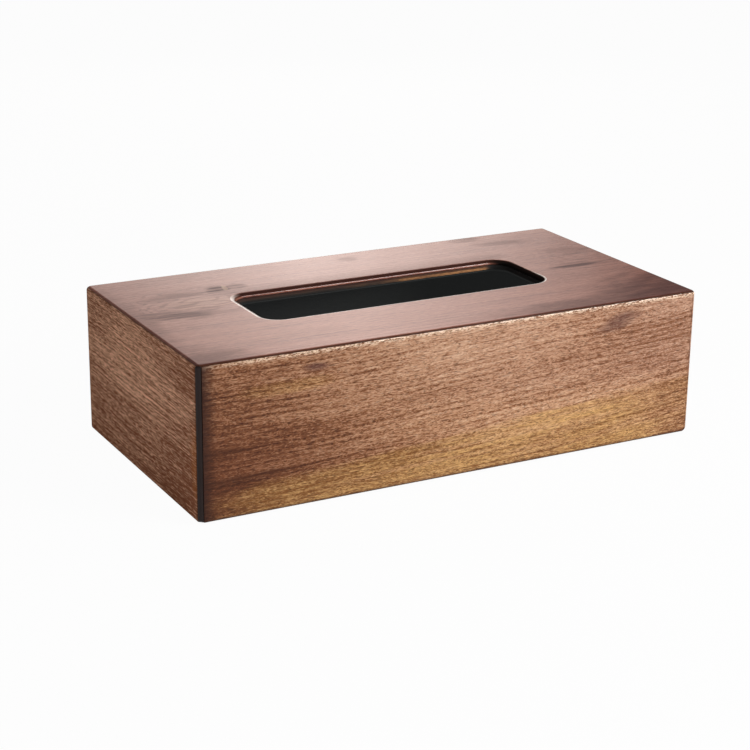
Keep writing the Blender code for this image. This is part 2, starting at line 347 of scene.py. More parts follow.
# %% Walnut, from its grain to its lacquer
# Lines stray and fibres slide by this many millimetres. A pair says where a noise, or
# the depth below the top in millimetres, begins to count and where it counts in full.
LINE_STRAY, FIBRE_SLIDE = 1.8, 9
LINES_SHOW = 0.3, 0.65
PORES_OPEN = 0.56, 0.68
MITRE_TOP, MITRE_FOOT = (0.06, 0.22), (0.6, 0.85)
COAT_ROUGHNESS, COAT_IOR = 0.18, 1.5


class Walnut(Wood):
    """A walnut board whose grain, colours and lacquer come one after the other."""

    def grain(self, tone, lines, specks, strokes, bands=0.4, spacing=2.6, stretch=1.0):
        """How pale the bare wood is: about 0 where it is dark and 1 where pale."""
        broad = (self.layer("broad") - 0.5) * bands
        streaks = (self.layer("streaks") - 0.5) * strokes
        jitter = self.layer("jitter") - 0.5
        wave = (self.bent + jitter * LINE_STRAY).swing(spacing)
        self.line = wave.ease(0.0, 1.0) * self.layer("strength").ease(*LINES_SHOW)
        moved = {"slide": jitter * FIBRE_SLIDE, "stretch": stretch}
        self.fibre = self.layer("fibre", straight=True, **moved) - 0.5
        self.speck = self.layer("specks", straight=True, **moved) - 0.5
        self.pore = self.layer("pores", **moved).ease(*PORES_OPEN)
        value = broad + streaks + self.fibre * 0.8 + self.speck * specks
        return value + tone - self.line * lines

    def lacquer(self, shade, relief, pores, stain=0.0, gloss=0.0, shine=0.0):
        """Sinks the pores, stains the mitre, and feeds the shader."""
        mitre = self.below.ease(*MITRE_TOP) * (1 - self.below.ease(*MITRE_FOOT))
        shade = self.glaze(shade, [(self.pore * pores, PORE), (mitre * stain, DARK_WOOD)])
        height = self.speck * 0.5 + self.fibre * 0.4 - self.pore * 0.7 - self.line * 0.2
        self.feed(
            Base_Color=shade,
            Roughness=0.4 + self.pore * 0.2 + self.fibre * 0.2,
            Normal=self.bump(height, relief * MM),
            Coat_Weight=gloss,
        )
        self.constants(Coat_Roughness=COAT_ROUGHNESS, Coat_IOR=COAT_IOR)
        self.constants(Specular_IOR_Level=shine)
        return self.material


# %% [markdown]
# ## The front board
#
# The front is the face that the buyer sees first. It is darkest at its left end, has
# a golden band of sapwood low down, a painted highlight along its top edge, and
# painted shade along its foot and at its left corner. A painted mask could hold these
# marks. Here each is a soft oval or a soft line that noise disturbs, so that it has no
# hard rim and follows the grain. The numbers are places on the board in millimetres,
# along it from its middle and up it from the table, and what a mark adds to the tone
# or to the colour, from 0 to 1.

# %% Colours and marks of the front board
# A mark has its middle, its reach along and across the board, and its tilt in degrees.
RED_WOOD = tint(122, 66, 42)
ROSY_WOOD = tint(204, 164, 144)
UMBER_WOOD = tint(132, 85, 48)
GOLDEN_WOOD = tint(222, 175, 114)
# A painted highlight for the top edge, and painted shade for the foot and the left corner
CREST_HIGHLIGHT = tint(246, 214, 184)
FOOT_SHADOW = tint(58, 33, 26)
PALE_PATCHES = [((16, 56), (52, 20), 3), ((45, 24), (75, 15), 3)]
GOLDEN_STREAKS = [((-84, 55), (30, 4), 1), ((-92, 9), (20, 8), 3)]
DARK_STREAKS = [((-104, 18), (30, 2.2), 2), ((-114, 31), (14, 2.2), 0)]
SMUDGES = [((82, 61), (15, 4.5), 14), ((-71, 62), (8, 2.5), 0)]
print("marks on the front:", len(PALE_PATCHES + GOLDEN_STREAKS + DARK_STREAKS + SMUDGES))


# %% Where the front board changes
# The sapwood ends at a height that rises along the board. Each pair says where a
# change begins and where it is whole, in millimetres.
SAPWOOD_TOP, SAPWOOD_SLOPE = 20.5, 0.07
STRAY_REACH = 16
LEFT_SHADE = -135, -5
SAPWOOD_EDGE = -2.5, 1.5
SAPWOOD_START, SAPWOOD_END = (-135, -88), (95, 130)
SHORE_START, SHORE_END, SHORE_RIGHT = (-1.5, 1), (1, 14), (-60, 20)
PALE_TOP = 54, 67
DULL_RIGHT, DULL_HIGH = (45, 105), (28, 40)
LOW_LEFT, LOW_RIGHT = (-50, 20), (96, 112)
RED_HEIGHT = 20, 60
ROSY_START, ROSY_HEIGHT, ROSY_RIGHT = (-60, 110), (24, 40), (60, 110)
CREST_TOP, CREST_FOOT, CREST_START = (0.5, 0.8), (1.4, 3.0), (-120, -90)
FOOT_EDGE = 1.2, 2.8
CORNER_EDGE = -123.5, -115
print("the sapwood's edge rises", round(SAPWOOD_SLOPE * 2 * HALF_LENGTH / MM, 1), "mm")


# %% Paint the front board
class FrontBoard(Walnut):
    """Golden below, speckled above, dark at the left end, with a painted highlight on its top
    edge.
    """

    def __init__(self):
        super().__init__("walnut_front", "X", 2, lean=0.045, sweep=0.0002)
        self.stray = (self.layer("stray") - 0.5) * STRAY_REACH
        self.up = self.b + self.stray * 0.4
        self.left = 1 - (self.a + self.stray).ease(*LEFT_SHADE)
        self.edge = self.up - self.a * SAPWOOD_SLOPE - SAPWOOD_TOP
        self.low = 1 - self.edge.ease(*SAPWOOD_EDGE)

    def tone(self):
        """The grain, paler in the middle and darker at both ends and low down."""
        a, b = self.a, self.b
        grain = self.grain(0.72, lines=0.24, specks=1.35, strokes=0.5)
        mottle = (self.layer("mottle") - 0.5) * 0.45
        pale = self.blots(PALE_PATCHES) * 0.1 + self.up.ease(*PALE_TOP) * 0.12
        shore = self.edge.ease(*SHORE_START) * (1 - self.edge.ease(*SHORE_END))
        dark_left = self.left * 0.28 + shore * (1 - a.ease(*SHORE_RIGHT)) * 0.1
        dark_right = a.ease(*DULL_RIGHT) * b.ease(*DULL_HIGH) * 0.1
        ends = (1 - a.ease(*LOW_LEFT)) * 0.07 + a.ease(*LOW_RIGHT) * 0.12
        dark_low = self.low * ends
        return grain + mottle + pale - dark_left - dark_right - dark_low

    def colours(self, value):
        """Brown, and over it red at the left, rosy high up and golden low down."""
        a, b = self.a, self.b
        browns = (0.0, 0.5, BROWN_WOOD), (0.4, 0.8, TAN_WOOD), (0.75, 1.3, PALE_WOOD)
        brown = self.blend(value, DARK_WOOD, *browns)
        red = self.blend(value, DARK_WOOD, (0.0, 0.8, RED_WOOD))
        rosy = self.blend(value, BROWN_WOOD, (0.1, 1.2, ROSY_WOOD))
        golden = self.blend(value, UMBER_WOOD, (0.15, 1.15, GOLDEN_WOOD))
        low_left = self.left * (1 - b.ease(*RED_HEIGHT) * 0.6)
        high_right = (a + b).ease(*ROSY_START) * self.up.ease(*ROSY_HEIGHT)
        start = (a + self.stray * 2).ease(*SAPWOOD_START)
        sapwood = self.low * start * (1 - (a + b).ease(*SAPWOOD_END) * 0.6)
        patches = 0.55 + self.layer("patches").ease(0.35, 0.6) * 0.4
        coats = [
            (low_left * 0.75, red),
            (high_right * (0.35 + a.ease(*ROSY_RIGHT) * 0.25), rosy),
            (sapwood * patches, golden),
            (self.blots(GOLDEN_STREAKS) * 0.5, golden),
            (self.blots(DARK_STREAKS) * 0.6, DARK_WOOD),
            (self.blots(SMUDGES) * 0.7, PURPLE_WOOD),
        ]
        return self.glaze(brown, coats)

    def finish(self):
        """The colours, a painted highlight along the top edge, and painted shade at the foot
        and the left corner.
        """
        shade = self.colours(self.tone())
        bumps = (0.5 + self.speck * 5 + self.fibre * 3).ease(0.0, 1.0)
        crest = self.below.ease(*CREST_TOP) * (1 - self.below.ease(*CREST_FOOT)) * bumps
        crest = crest * (0.4 + self.a.ease(*CREST_START) * 0.6)
        foot = 1 - self.b.ease(*FOOT_EDGE)
        corner = 1 - self.a.ease(*CORNER_EDGE)
        # Painted highlight along the top edge, painted shade at the foot and the left corner
        coats = [(crest * 0.9, CREST_HIGHLIGHT), (foot.most(corner) * 0.9, FOOT_SHADOW)]
        shade = self.glaze(shade, coats)
        gloss = crest * 0.7
        return self.lacquer(shade, relief=0.12, pores=0.55, stain=0.95, gloss=gloss, shine=0.12)


walnut_front = FrontBoard().finish()
print("nodes of the front board:", len(walnut_front.node_tree.nodes))

# %% [markdown]
# ## The top board
#
# The top has two knots with smoky streaks and fine arcs beside them, painted shade
# toward its edges and just behind the slot, and more gloss than the sides. The rim of
# the slot has painted shade at the far side and a painted highlight at the near one.
# Separate small boards for the rim would show a joint that isn't there, so masks from
# the place on the board pick out the rim's sides. The marks are written as on the
# front board, with a last number for their depth, and an arc has the gap between its
# lines in place of a tilt.

# %% Colours and marks of the top board
TOP_DARK = tint(116, 64, 54)
TOP_BROWN = tint(172, 110, 92)
TOP_TAN = tint(212, 152, 128)
# Painted shade for the far side of the slot's rim, and a painted highlight for its near side
RIM_SHADE = tint(46, 17, 10)
RIM_HIGHLIGHT = tint(246, 236, 226)
SMOKE = [
    ((-94, 31), (28, 6), 4, 0.55),
    ((-73, 33), (9, 7), 20, 1.3),
    ((-63, 34), (7, 6), 0, 0.8),
    ((-106, 3), (24, 8), -12, 0.9),
    ((-82, -1), (18, 2.5), 2, 0.4),
    ((100, -3.5), (21, 3.4), 1, 1.0),
    ((98, 0), (14, 2.4), 1, 0.6),
    ((110, 22), (18, 6), -14, 0.5),
    ((90, 47), (20, 6), -8, 0.55),
    ((74, 60), (14, 5), 0, 0.6),
    ((5, 54), (7, 5), 4, 0.5),
]
KNOT_ARCS = [((-88, 18), (38, 26), 0.17, 0.5), ((116, 14), (34, 24), 0.21, 0.3)]
# Painted shade: smooth shadows toward the front corners and the left edge
SHADOWS = [
    ((95, -60), (100, 14), 1, 0.65),
    ((125, -65), (60, 50), 0, 0.85),
    ((-125, -65), (36, 30), 0, 0.7),
    ((-125, 0), (12, 75), 0, 0.45),
]
print("marks on the top:", len(SMOKE + KNOT_ARCS + SHADOWS))


# %% Where the slot's edge lies
# The slot and its rim lie within these distances from the middle, in millimetres. The
# other pairs part its sides, and say how far below the top each begins and ends.
SLOT_ENDS, SLOT_SIDES = (76, 78), (25, 27)
FAR_SIDE, FAR_LEFT, RIGHT_END = (-14, 0), (-76, -66), (63, 70)
FAR_TOP, FAR_FOOT = (0.02, 0.2), (0.9, 1.2)
NEAR_TOP, NEAR_FOOT = (0.004, 0.03), (0.4, 0.7)
END_TOP = 0.03, 0.2
BEHIND_START, BEHIND_END, BEHIND_SIDES = (20, 24), (24, 38), (70, 84)
FRONT_MITRE = -64, -62
print("the slot's edge is painted within", 2 * SLOT_ENDS[1], "by", 2 * SLOT_SIDES[1], "mm")


# %% Paint the top board
class TopBoard(Walnut):
    """Knots, smoky streaks and soft bands under a deeper gloss, painted shade toward the edges,
    and a slot rim with painted shade and a painted highlight.
    """

    def __init__(self):
        super().__init__("walnut_top", "TOP", 1)
        self.wisps = self.layer("wisps").ease(0.36, 0.56)

    def haze(self):
        """Streaky smoke, arcs round the knots, and painted shade: smooth shadows and a band
        behind the slot.
        """
        x, y = self.a, self.b
        streaky = 0.45 + self.wisps * 0.55
        # Painted shade on the top just behind the slot
        behind = y.ease(*BEHIND_START) * (1 - y.ease(*BEHIND_END))
        behind = behind * (1 - abs(x).ease(*BEHIND_SIDES))
        haze = (self.wisps * 0.08).most(behind * 0.4)
        for *mark, depth in SMOKE:
            haze = haze.most(self.blot(*mark) * streaky * depth)
        for *mark, depth in KNOT_ARCS:
            haze = haze.most(self.arcs(*mark) * streaky * depth)
        for *mark, depth in SHADOWS:
            haze = haze.most(self.blot(*mark) * depth)
        return haze

    def rim(self):
        """The rounded edge of the slot: its far side for painted shade, its near side for a
        painted highlight, and its right end.
        """
        x, y, below = self.a, self.b, self.below
        slot = (1 - abs(x).ease(*SLOT_ENDS)) * (1 - abs(y).ease(*SLOT_SIDES))
        behind = slot * y.ease(*FAR_SIDE) * x.ease(*FAR_LEFT)
        far = behind * below.ease(*FAR_TOP) * (1 - below.ease(*FAR_FOOT))
        near = (slot - behind) * below.ease(*NEAR_TOP) * (1 - below.ease(*NEAR_FOOT))
        end = slot * below.ease(*END_TOP) * x.ease(*RIGHT_END)
        return far, near, end

    def finish(self):
        """The wood, its marks, its painted shade, and the rim's painted shade and highlight,
        under gloss that the marks take down.
        """
        value = self.grain(0.45, lines=0.12, specks=0.2, strokes=0.5, bands=0.5, spacing=3.4)
        shade = self.blend(value, TOP_DARK, (0.0, 0.5, TOP_BROWN), (0.4, 1.1, TOP_TAN))
        haze = self.haze()
        far, near, end = self.rim()
        crack = self.blot((-69, 34), (1.5, 6), -12) * (0.3 + self.wisps * 0.5)
        coats = [
            (self.blot((-88, 16), (24, 11)) * 0.3, TAN_WOOD),
            (haze, PURPLE_WOOD),
            (crack, PALE_WOOD),
            # Painted shade on the far side of the rim, a painted highlight on its near side
            (far * 0.92, RIM_SHADE),
            (near, RIM_HIGHLIGHT),
            (end, SOOT),
        ]
        shade = self.glaze(shade, coats)
        gloss = (1 - end) * (1 - haze * 0.5)
        stain = 0.1 + (1 - self.b.ease(*FRONT_MITRE)) * 0.85
        return self.lacquer(shade, relief=0.015, pores=0.25, stain=stain, gloss=gloss)


walnut_top = TopBoard().finish()
print("nodes of the top board:", len(walnut_top.node_tree.nodes))

# %% [markdown]
# ## The other upright boards
#
# The left board is plainer than the front: an even brown with fine light threads,
# darker low down and toward its near end, and painted shade right at that end, where it
# turns into the corner. The back and the right board are cut from the same wood. One
# function paints all three, with another seed for each, and measures its marks from the
# board's end, so that a long and a short board both end alike.

# %% Paint the other upright boards
ROAST_WOOD = tint(136, 86, 62)
CHESTNUT_WOOD = tint(255, 199, 164)
ORANGE_WOOD = tint(186, 112, 56)
BAND_HEIGHT, BAND_REACH = 46, 20
DARK_BELOW = 0, 34
DARK_END = 0, 75
END_CORNER = 1.8, 3.2


def side_board(name, along, seed, tone, half_length):
    """Even brown with fine light threads in a band, darker low and toward one end, and painted
    shade right at that end.
    """
    half = half_length / MM
    wood = Walnut(name, along, seed)
    from_end = wood.a + half
    grain = wood.grain(
        tone, lines=0.1, specks=2.0, strokes=1.1, bands=0.25, spacing=1.7, stretch=3.0
    )
    threads = (wood.layer("threads", straight=True) - 0.5) * 1.4
    band = wood.blot((0, BAND_HEIGHT), (half * 1.2, BAND_REACH)) * (0.2 + threads)
    dark_low = (1 - wood.b.ease(*DARK_BELOW)) * 0.15
    dark_end = (1 - from_end.ease(*DARK_END)) * 0.2
    value = grain + band - dark_low - dark_end
    shade = wood.blend(value, ROAST_WOOD, (0.2, 1.5, CHESTNUT_WOOD))
    warm = wood.blot((3 - half, 26), (6, 22)) * 0.35
    # Painted shade where the board turns round into the corner
    corner = (1 - from_end.ease(*END_CORNER)) * 0.6
    shade = wood.glaze(shade, [(warm, ORANGE_WOOD), (corner, DARK_WOOD)])
    return wood.lacquer(shade, relief=0.08, pores=0.2)


walnut_back = side_board("walnut_back", "X", 3, 0.66, HALF_LENGTH)
walnut_left = side_board("walnut_left", "Y", 4, 0.74, HALF_WIDTH)
walnut_right = side_board("walnut_right", "Y", 5, 0.74, HALF_WIDTH)
print("walnut boards painted:", len(bpy.data.materials))

# %% [markdown]
# ## The lacquer of the left beads
#
# The corners at the left end show a slim black strip, smooth but not quite even. A
# plain black would do at this size, but every paint has clouds and a fine orange
# peel, and they keep its reflection from looking like plastic. The right corners show
# no black in the picture, so their beads take the wood of the board beside them.

# %% Paint the black lacquer
def black_lacquer():
    """Smooth black with a faint unevenness."""
    coat = Finish("black_lacquer")
    spot = coat.place()
    cloud = coat.noise(spot, (6, 6, 14), 8, 2.0)
    peel = coat.noise(spot, (0.9, 0.9, 0.9), 9, 1.0)
    coat.feed(
        Base_Color=coat.mix(cloud, tint(44, 36, 35), tint(56, 46, 44)),
        Roughness=0.34 + cloud * 0.12,
        Normal=coat.bump(peel, 0.004 * MM),
    )
    coat.constants(Specular_IOR_Level=0.1)
    return coat.material


bead_lacquer = black_lacquer()
print("lacquer:", bead_lacquer.name)

# %% [markdown]
# ## The fibreboard of the core
#
# Under the facings is a golden pressed board, which shows only in the wall of the
# slot: golden toward the back right, darker over the rest of the wall, with a dark glue
# line at its top, and near-black low at the left and at the right end. These marks could
# be thin solids of their own, but they have no thickness on the real box either, so
# they are masks from the place on the board.

# %% Paint the fibreboard
FIBRE_DARK = tint(150, 96, 58)
FIBRE_GOLD = tint(212, 150, 94)
DARKER_WALL = tint(50, 36, 30)
GLUE = tint(58, 26, 16)
WALL_ENDS, WALL_SIDES = (74, 76), (23, 25)
BARE_LEFT, BARE_RIGHT, BARE_BACK = (-20, 60), (62, 66), (0, 19)
GLUE_START = 67.1, 67.5
DARK_FOOT_TOP, DARK_FOOT_RIGHT = (66.9, 67.5), (-30, 30)
SOOT_RIGHT = 63, 67


def core_board():
    """Pressed golden fibres, darker over most of the slot's wall and near-black low at the
    left.
    """
    board = Finish("core_board")
    x, y, z = spot = board.place()
    fibre = board.noise(spot, (2.6, 2.6, 0.5), 11, 3.0, 0.6)
    cloud = board.noise(spot, (18, 18, 6), 12, 2.0)
    gold = board.blend(fibre, FIBRE_DARK, (0.3, 0.7, FIBRE_GOLD))
    wall = (1 - abs(x).ease(*WALL_ENDS)) * (1 - abs(y).ease(*WALL_SIDES))
    bare = (x + (cloud - 0.5) * 160).ease(*BARE_LEFT) * (1 - x.ease(*BARE_RIGHT))
    bare = bare * y.ease(*BARE_BACK)
    glue_line = (z + cloud * 0.6).ease(*GLUE_START)
    low_left = (1 - (z + cloud).ease(*DARK_FOOT_TOP)) * (1 - x.ease(*DARK_FOOT_RIGHT))
    coats = [
        ((1 - bare * 0.85) * wall * 0.9, DARKER_WALL),
        (glue_line * wall * 0.85, GLUE),
        ((low_left * 0.8).most(x.ease(*SOOT_RIGHT)) * wall, SOOT),
    ]
    board.feed(
        Base_Color=board.glaze(gold, coats),
        Roughness=0.55 + fibre * 0.2,
        Normal=board.bump(fibre, 0.06 * MM),
    )
    return board.material


core_wood = core_board()
print("core:", core_wood.name)

# %% [markdown]
# ## The flock of the linings
#
# The inside is lined with black flocked sheets: millions of short fibres that swallow
# the light. A black colour alone reads as a hole. Fine noise stands for the nap, a slow
# one for where a hand has brushed it, and a very faint painted glow, light that the
# flock itself gives off, for the light that the fibres scatter among themselves.

# %% Paint the flock
def black_flock():
    """Short black fibres: matt, with the faintest sheen and a faint painted glow."""
    flock = Finish("black_flock")
    spot = flock.place()
    nap = flock.noise(spot, (0.5, 0.5, 0.5), 13, 2.0, 0.7)
    brushed = flock.noise(spot, (30, 16, 16), 14, 2.0)
    shade = flock.mix(nap, tint(30, 31, 30), tint(54, 55, 54))
    flock.feed(
        Base_Color=flock.mix(brushed * 0.3, shade, tint(62, 62, 60)),
        # Painted light: a faint glow from the flock itself
        Emission_Color=flock.mix(nap, tint(20, 21, 21), tint(30, 31, 31)),
        Roughness=0.9 + nap * 0.1,
        Normal=flock.bump(nap, 0.12 * MM),
    )
    flock.constants(Sheen_Weight=0.1, Sheen_Roughness=0.5)
    flock.constants(Specular_IOR_Level=0.2, Emission_Strength=1.0)
    return flock.material


lining_flock = black_flock()
print("lining:", lining_flock.name)

# %% [markdown]
# ## The finishes of the base
#
# When the cover is lifted, its ledges and magnets show, and so does the base on its
# felt pads. The ledges are softwood stained black, the base is painted with a roller,
# the magnets are nickel-plated and the pads are felt. None is in the picture, so each
# gets what such a part usually has, and a grain at its own size: long for wood,
# pebbled for rolled paint, and matted for felt.

# %% The finish that these parts share
def plain_finish(name, colours, dull, vary, relief, texture, cloud=None, **constants):
    """Between two colours, with one fine texture in its roughness and its relief."""
    finish = Finish(name)
    spot = finish.place()
    fine = finish.noise(spot, *texture)
    tone = finish.noise(spot, *cloud) if cloud else fine
    finish.feed(
        Base_Color=finish.mix(tone, *colours),
        Roughness=dull + fine * vary,
        Normal=finish.bump(fine, relief * MM),
    )
    finish.constants(**constants)
    return finish.material


# %% Paint the ledges and the base
# A noise has its grains' lengths in millimetres, its seed, its detail and its roughness.
STAIN_COLOURS = (0.012, 0.011, 0.010), (0.038, 0.034, 0.030)
PAINT_COLOURS = (0.014, 0.014, 0.014), (0.024, 0.023, 0.022)
LONG_GRAIN = (0.8, 26, 0.8), 15, 3.0, 0.6
ROLLER = (1.6, 1.6, 1.6), 16, 2.0
PAINT_CLOUD = (40, 25, 10), 17, 2.0
ledge_stain = plain_finish("stained_wood", STAIN_COLOURS, 0.5, 0.2, 0.05, LONG_GRAIN)
base_paint = plain_finish(
    "satin_paint", PAINT_COLOURS, 0.42, 0.16, 0.02, ROLLER, PAINT_CLOUD
)
print("ledges and base:", ledge_stain.name, base_paint.name)

# %% Paint the nickel and the felt
NICKEL_COLOURS = (0.50, 0.48, 0.45), (0.68, 0.66, 0.63)
FELT_COLOURS = (0.010, 0.010, 0.011), (0.045, 0.045, 0.048)
HANDLING = (0.6, 0.6, 0.6), 18, 3.0, 0.6
MATTED = (0.9, 0.35, 0.35), 19, 3.0, 0.7
nickel = plain_finish(
    "nickel_plate", NICKEL_COLOURS, 0.18, 0.2, 0.003, HANDLING, Metallic=1.0
)
SOFT = {"Sheen_Weight": 0.3, "Specular_IOR_Level": 0.2}
pad_felt = plain_finish("felt", FELT_COLOURS, 0.92, 0.08, 0.15, MATTED, **SOFT)
print("finishes:", len(bpy.data.materials))

# %% [markdown]
# ## Skins from rings
#
# The boards are flat with rounded edges, and the top one has a hole. They could be
# cut with booleans, but a boolean leaves long thin faces that shade badly where an
# edge is round. Here rings of points, all with the same count, follow the form, and
# skinning them gives clean strips of four-sided faces.

# %% Make a ring
CORNER_STEPS = 16


def ring(half_x, half_y, radius, height):
    """A rectangle with round corners at a height, with one count of points for all."""
    points = []
    for corner, (side_x, side_y) in enumerate([(1, 1), (-1, 1), (-1, -1), (1, -1)]):
        for step in range(CORNER_STEPS + 1):
            turn = (corner + step / CORNER_STEPS) * math.pi / 2
            x = side_x * (half_x - radius) + radius * math.cos(turn)
            y = side_y * (half_y - radius) + radius * math.sin(turn)
            points.append(Vector((x, y, height)))
    return points


def arc(steps, start, end):
    """Sines and cosines of even turns between two angles in degrees."""
    turns = [start + (end - start) * step / steps for step in range(steps + 1)]
    return [(math.sin(math.radians(turn)), math.cos(math.radians(turn))) for turn in turns]


print("points on a ring:", len(ring(1, 1, 0.1, 0)))

# %% Join rings into a skin
WELD = 0.001 * MM


def skin(name, rings, around=True, ends=False):
    """Joins rings into a closed mesh; around joins the last ring to the first."""
    mesh = bmesh.new()
    rows = [[mesh.verts.new(point) for point in points] for points in rings]
    pairs = list(zip(rows, rows[1:])) + ([(rows[-1], rows[0])] if around else [])
    for row, after in pairs:
        count = len(row)
        for i in range(count):
            j = (i + 1) % count
            mesh.faces.new((row[i], row[j], after[j], after[i]))
    if ends:
        mesh.faces.new(rows[0])
        mesh.faces.new(rows[-1])
    bmesh.ops.remove_doubles(mesh, verts=mesh.verts, dist=WELD)
    bmesh.ops.recalc_face_normals(mesh, faces=mesh.faces)
    data = bpy.data.meshes.new(name)
    mesh.to_mesh(data)
    mesh.free()
    return data


# %% Put a piece in the scene
EASE = 0.07 * MM
SHARP = math.radians(38)


def add_piece(name, data, material, body, slot, *nodes):
    """Puts a mesh in the scene in place of CAD nodes, riding on its body."""
    piece = bpy.data.objects.new(name, data)
    bpy.context.scene.collection.objects.link(piece)
    data.materials.append(material)
    data.shade_smooth()
    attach(piece, body)
    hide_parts(*nodes)
    return piece


def ease_edges(piece, width=EASE):
    """Takes the sharpness off the edges, and keeps the flats flat in the light."""
    bevel = piece.modifiers.new("ease", "BEVEL")
    bevel.width = width
    bevel.segments = 2
    bevel.limit_method = "ANGLE"
    bevel.angle_limit = SHARP
    weighted = piece.modifiers.new("flats", "WEIGHTED_NORMAL")
    weighted.keep_sharp = True
    return piece


# %% [markdown]
# ## The top facing
#
# The top facing is one thin board with the slot cut through it. On the real box its
# outer edge is mitred to the upright facings, the corner is sanded round, and the rim
# of the slot is rolled over. The rings run in that order: up the slot's wall, over
# the rim, across the flat top, over the arris and down the mitre to the start.

# %% Sizes of the slot and of the top edges
# The rim falls by RIM over a width of RIM_ROLL. The seam is the hairline that shows
# between two boards, half on each side of the mitre.
SLOT_HALF_LENGTH = 72.0 * MM
SLOT_HALF_WIDTH = 20.7 * MM
SLOT_CORNER = 8.0 * MM
RIM = 1.6 * MM
RIM_ROLL = 3.0 * MM
CORNER_ROUND = 2.6 * MM
ARRIS = 1.8 * MM
ARC_STEPS = 10
SEAM = 0.18 * MM
MITRE_SHIFT = SEAM / math.sqrt(2)
ARRIS_CUT = math.degrees(math.acos(MITRE_SHIFT / ARRIS / math.sqrt(2))) - 45
print("the arris meets the mitre after", round(ARRIS_CUT, 2), "degrees")


# %% Build the top facing
def top_rings():
    """Rings of the top board, from the foot of the slot over the top to the mitre."""
    slot = Vector((SLOT_HALF_LENGTH, SLOT_HALF_WIDTH, SLOT_CORNER))
    outside = Vector((HALF_LENGTH, HALF_WIDTH, CORNER_ROUND))
    grow = Vector((1, 1, 1))
    rings = [ring(*slot, TOP_LOW)]
    for sine, cosine in arc(2 * ARC_STEPS, 0, 90):
        out = RIM_ROLL * (1 - cosine)
        rings.append(ring(*(slot + grow * out), HEIGHT - RIM * (1 - sine)))
    for sine, cosine in arc(ARC_STEPS, 90, 90 - ARRIS_CUT):
        inset = ARRIS * (1 - cosine)
        rings.append(ring(*(outside - grow * inset), HEIGHT - ARRIS * (1 - sine)))
    low = HALF_LENGTH - FACING - MITRE_SHIFT, HALF_WIDTH - FACING - MITRE_SHIFT
    rings.append(ring(*low, 0, TOP_LOW))
    return rings


top_skin = skin("top_facing", top_rings())
top = add_piece("top_facing", top_skin, walnut_top, "cover", "walnut", "top_panel")
ease_edges(top)
print("top facing:", len(top.data.polygons), "faces")

# %% [markdown]
# ## The upright facings and the beads
#
# The upright corners are rounded more than the arris, most of all at the foot. Each
# facing ends just past the start of that round, and a bead fills the rest of it. On a
# bench, a board would be glued up first and sanded round afterwards. Here one
# function gives an upright slice of the wall at any turn of the corner, so that
# boards and beads run into each other as if they were sanded together.

# %% One upright slice of the wall
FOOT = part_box("front_panel")[0].z
FOOT_ROUND = 1.0 * MM
FOOT_SWELL = 0.8 * MM
FOOT_STEPS = 4


def upright_section(foot_round):
    """The cross-section as depth behind the outer face, and height."""
    points = [(FACING, FOOT)]
    for sine, cosine in arc(FOOT_STEPS, 0, 90):
        points.append((foot_round * (1 - sine), FOOT + foot_round * (1 - cosine)))
    for sine, cosine in arc(ARC_STEPS, 0, ARRIS_CUT):
        points.append((ARRIS * (1 - cosine), HEIGHT - ARRIS * (1 - sine)))
    points.append((FACING, HEIGHT - FACING - MITRE_SHIFT))
    return points


def upright_slice(outward, along, half, across, turn):
    """The wall that looks along outward, at a turn round the corner that along leads to."""
    lean = outward * math.cos(turn) + along * math.sin(turn)
    middle = outward * (half - CORNER_ROUND) + along * (across - CORNER_ROUND)
    outer = middle + lean * CORNER_ROUND
    inner = outward * (half - FACING) + along * min(outer.dot(along), across - FACING)
    points = []
    for depth, height in upright_section(FOOT_ROUND + FOOT_SWELL * math.sin(2 * turn)):
        spot = inner if depth == FACING else outer - lean * depth
        points.append(spot + Vector((0, 0, height)))
    return points


print("points on a slice:", len(upright_section(FOOT_ROUND)))

# %% Build the upright facings
BEND_STEPS = 6
FRONT_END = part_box("front_panel")[1].x
SIDE_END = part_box("right_panel")[1].y


def facing(name, node, material, outward, half, across, end):
    """A board that looks along outward, half away from the middle, with bent ends."""
    run = Vector((-outward.y, outward.x, 0))
    last = math.asin((end - across + CORNER_ROUND) / CORNER_ROUND)
    turns = [last * step / BEND_STEPS for step in range(BEND_STEPS + 1)]
    rings = [upright_slice(outward, -run, half, across, turn) for turn in reversed(turns)]
    rings += [upright_slice(outward, run, half, across, turn) for turn in turns]
    data = skin(name, rings, around=False, ends=True)
    return ease_edges(add_piece(name, data, material, "cover", "walnut", node))


LONG = HALF_WIDTH, HALF_LENGTH, FRONT_END
SHORT = HALF_LENGTH, HALF_WIDTH, SIDE_END
SIDES = [
    ("front", walnut_front, (0, -1, 0), LONG),
    ("back", walnut_back, (0, 1, 0), LONG),
    ("left", walnut_left, (-1, 0, 0), SHORT),
    ("right", walnut_right, (1, 0, 0), SHORT),
]
for side, material, outward, reach in SIDES:
    facing(side + "_facing", side + "_panel", material, Vector(outward), *reach)
print("upright facings:", len(SIDES), "ends at", round(FRONT_END / MM, 3), "mm")


# %% Build the four beads
def bead(name, side_x, side_y, material, slot):
    """The bead in one corner, from the end of one facing round to the next."""
    start = math.asin(1 - FACING / CORNER_ROUND)
    sweep = math.pi / 2 - 2 * start
    turns = [start + sweep * step / CORNER_STEPS for step in range(CORNER_STEPS + 1)]
    outward, along = Vector((side_x, 0, 0)), Vector((0, side_y, 0))
    columns = [upright_slice(outward, along, HALF_LENGTH, HALF_WIDTH, t) for t in turns]
    data = skin(name, columns, around=False, ends=True)
    piece = add_piece(name, data, material, "cover", slot, "corner_" + name)
    return ease_edges(piece)


